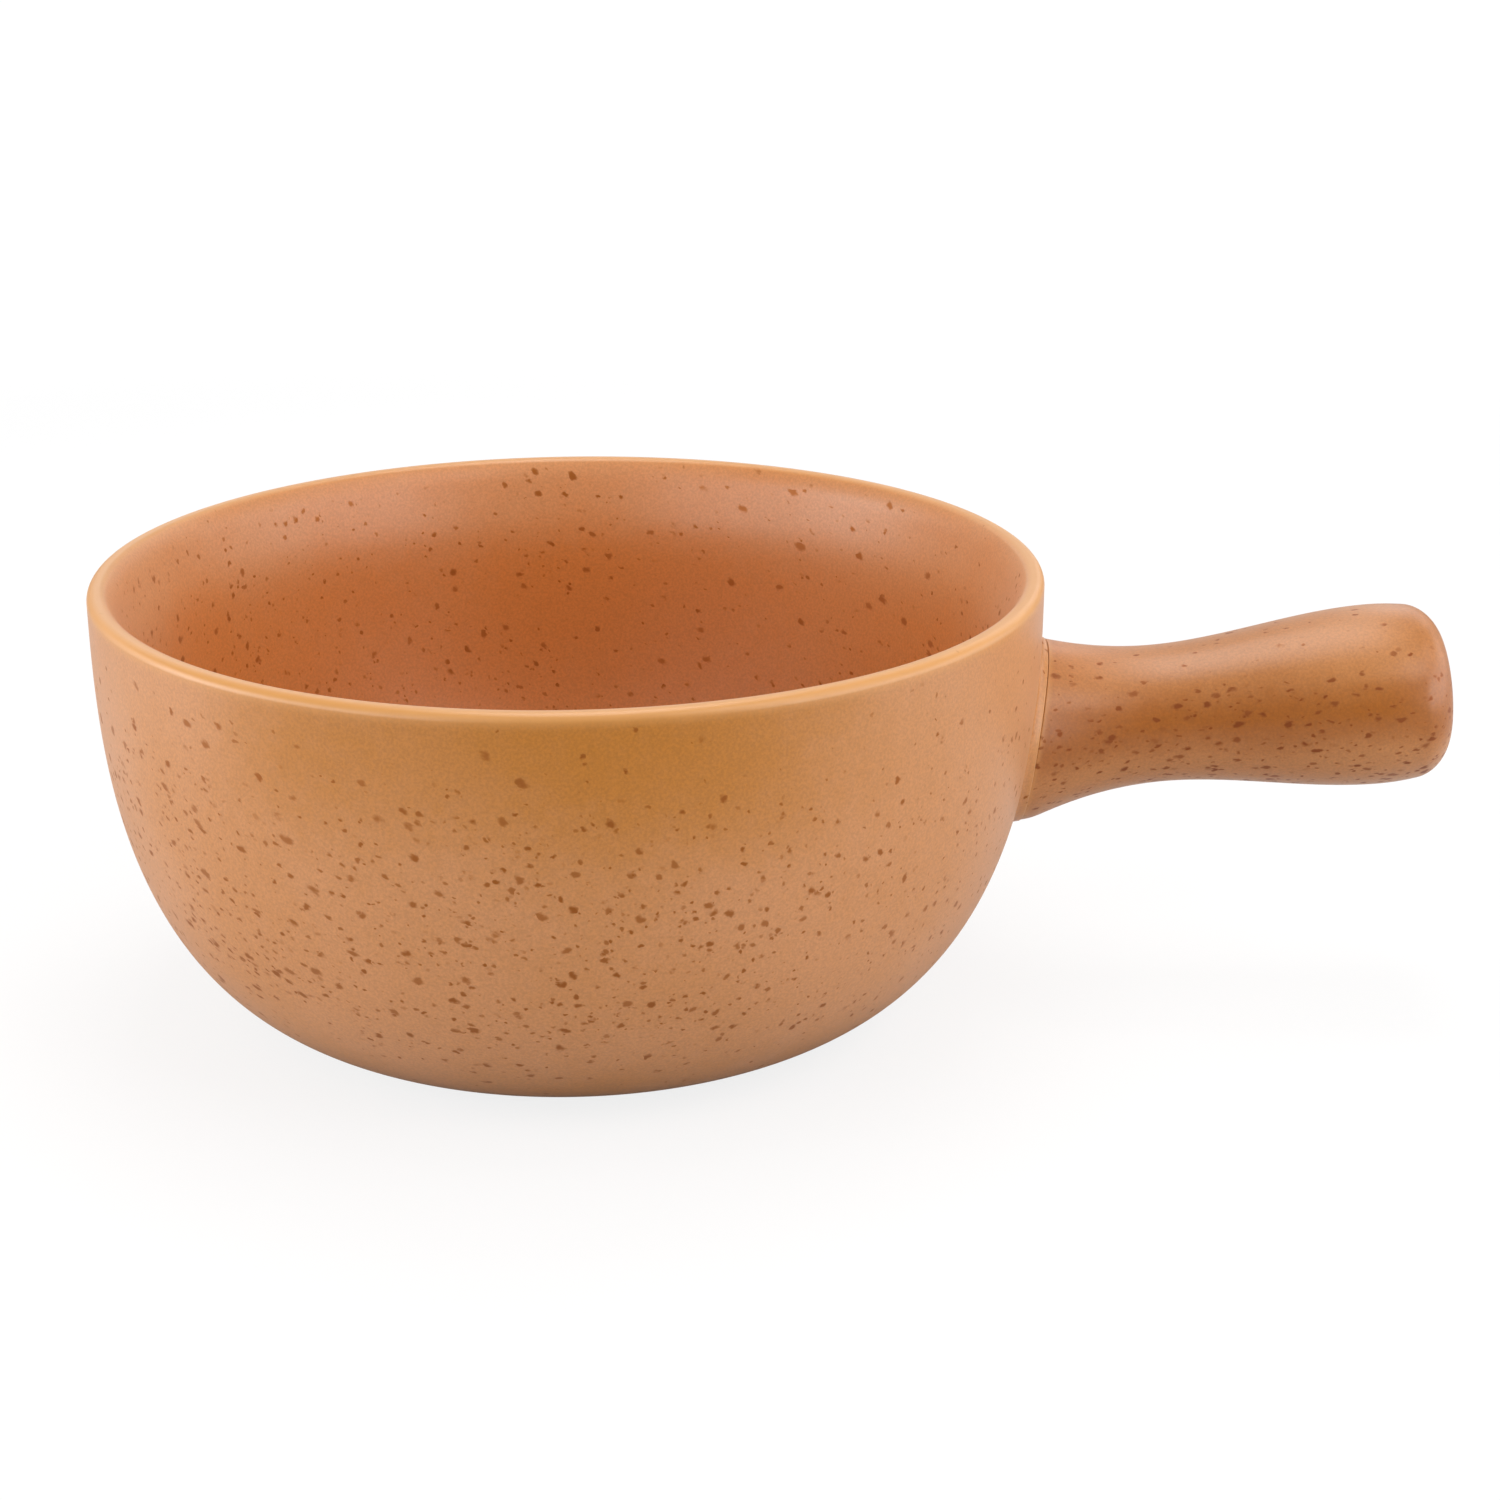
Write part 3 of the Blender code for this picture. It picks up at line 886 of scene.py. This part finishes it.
WHITE = (1.0, 1.0, 1.0, 1.0)
FLOOR_SIZE = 12.0
FLOOR_DROP = 0.0003
FLOOR_SEEN = (0.17, 0.17, 0.17, 1.0)
FLOOR_BOUNCE = (0.55, 0.55, 0.55, 1.0)
FLOOR_DARK = (0.02, 0.02, 0.02, 1.0)
FLOOR_ROUGHNESS = 0.9
FLOOR_FRONT_FADE = (-0.46, -0.34)
FLOOR_FOOT_FADE = (0.070, 0.098)
BACKDROP = 1.0
BACKDROP_NEAR = 0.82
BACKDROP_FADE = (0.7, 1.3)
ROOM_LIGHT = 0.22

# Square soft lights at one distance: azimuth from the picture's side, elevation, width and brightness
SOFTBOX_DISTANCE = 1.10
SOFTBOXES = {
    "left_front_softbox": (-60, 12, 0.50, 3.4),
    "left_softbox": (-85, 10, 0.50, 5.0),
    "left_back_softbox": (-110, 12, 0.50, 1.2),
    "right_front_softbox": (60, 12, 0.50, 3.0),
    "right_softbox": (85, 10, 0.50, 2.8),
    "right_back_softbox": (110, 12, 0.50, 1.6),
    "left_fill": (-33, 36, 0.50, 1.3),
    "right_fill": (42, 41, 0.35, 4.2),
    "left_low_fill": (-35, 8, 0.40, 3.6),
    "right_low_fill": (48, 8, 0.40, 2.5),
    "right_high_fill": (75, 40, 0.60, 1.5),
    "top_softbox": (0, 88, 0.55, 3.4),
    "top_back_softbox": (180, 68, 0.55, 3.2),
    "back_softbox": (180, 22, 0.90, 0.5),
    "left_rim_softbox": (-145, 30, 0.60, 0.8),
    "right_rim_softbox": (145, 30, 0.60, 1.3),
}


def make_floor():
    """Pale floor: paper that glows where it is looked at; it throws little light in front and at the foot."""
    half = FLOOR_SIZE / 2
    corners = [(x, y, -FLOOR_DROP) for x, y in ((-half, -half), (half, -half), (half, half), (-half, half))]
    mesh = bpy.data.meshes.new("floor")
    mesh.from_pydata(corners, [], [(0, 1, 2, 3)])
    floor = bpy.data.objects.new("floor", mesh)
    bpy.context.scene.collection.objects.link(floor)
    material, tree = new_material("floor_paper")
    place = tree.add("ShaderNodeTexCoord").outputs["Object"]
    depth = tree.add("ShaderNodeSeparateXYZ", Vector=place).outputs["Y"]
    far = tree.add("ShaderNodeVectorMath", {"operation": "LENGTH"}, Vector=place).outputs["Value"]
    lit = tree.maths("MULTIPLY", tree.ramp(depth, *FLOOR_FRONT_FADE), tree.ramp(far, *FLOOR_FOOT_FADE))
    bounce = tree.mix(lit, FLOOR_DARK, FLOOR_BOUNCE)
    seen = tree.add("ShaderNodeLightPath").outputs["Is Camera Ray"]
    glow = tree.ramp(far, *BACKDROP_FADE, BACKDROP_NEAR, BACKDROP)
    shader = material.node_tree.nodes["Principled BSDF"]
    tree.put(shader.inputs["Base Color"], tree.mix(seen, bounce, FLOOR_SEEN))
    shader.inputs["Roughness"].default_value = FLOOR_ROUGHNESS
    shader.inputs["Specular IOR Level"].default_value = 0.0
    shader.inputs["Emission Color"].default_value = WHITE
    tree.put(shader.inputs["Emission Strength"], tree.maths("MULTIPLY", seen, glow))
    floor.data.materials.append(material)


def make_world():
    """Dim room light in front of a white backdrop."""
    world = bpy.data.worlds.new("room")
    world.use_nodes = True
    tree = Tree(world.node_tree)
    seen = tree.add("ShaderNodeLightPath").outputs["Is Camera Ray"]
    background = world.node_tree.nodes["Background"]
    background.inputs["Color"].default_value = WHITE
    tree.put(background.inputs["Strength"], tree.ramp(seen, 0.0, 1.0, ROOM_LIGHT, BACKDROP))
    bpy.context.scene.world = world


def direction(azimuth, elevation):
    """Unit vector from the pot towards an azimuth, counted from the picture's side, and an elevation."""
    return np.array([sin(azimuth) * cos(elevation), -cos(azimuth) * cos(elevation), sin(elevation)])


def aim(obj, place, target):
    """Put a light or camera at a place so that it looks at the target, upright."""
    obj.location = place
    obj.rotation_euler = Vector(target - place).to_track_quat("-Z", "Y").to_euler()


def make_softboxes():
    """Square soft lights around the pot; a light's power is its brightness times pi times its area."""
    for name, (azimuth, elevation, width, brightness) in SOFTBOXES.items():
        light = bpy.data.lights.new(name, "AREA")
        light.shape = "SQUARE"
        light.size = width
        light.energy = brightness * pi * width ** 2
        lamp = bpy.data.objects.new(name, light)
        bpy.context.scene.collection.objects.link(lamp)
        way = direction(radians(azimuth), radians(elevation))
        aim(lamp, CAMERA_AIM + SOFTBOX_DISTANCE * way, CAMERA_AIM)


def make_camera():
    """Camera at the picture's viewing angle."""
    lens = bpy.data.cameras.new("camera")
    lens.lens = CAMERA_LENS
    lens.sensor_width = CAMERA_SENSOR
    lens.clip_start = CAMERA_NEAR
    camera = bpy.data.objects.new("camera", lens)
    bpy.context.scene.collection.objects.link(camera)
    aim(camera, CAMERA_AIM + CAMERA_DISTANCE * direction(CAMERA_AZIMUTH, CAMERA_ELEVATION), CAMERA_AIM)
    bpy.context.scene.camera = camera


PIECES = {
    "bowl": (make_bowl, "speckled_glaze"),
    "handle": (make_handle, "speckled_glaze"),
    "luting_slip": (make_slip, "slip_glaze"),
}

for node, (make, finish) in PIECES.items():
    piece = make()
    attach(piece, "root")
    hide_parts(node)

make_floor()
make_world()
make_softboxes()
make_camera()
bpy.context.scene.view_settings.view_transform = "Standard"
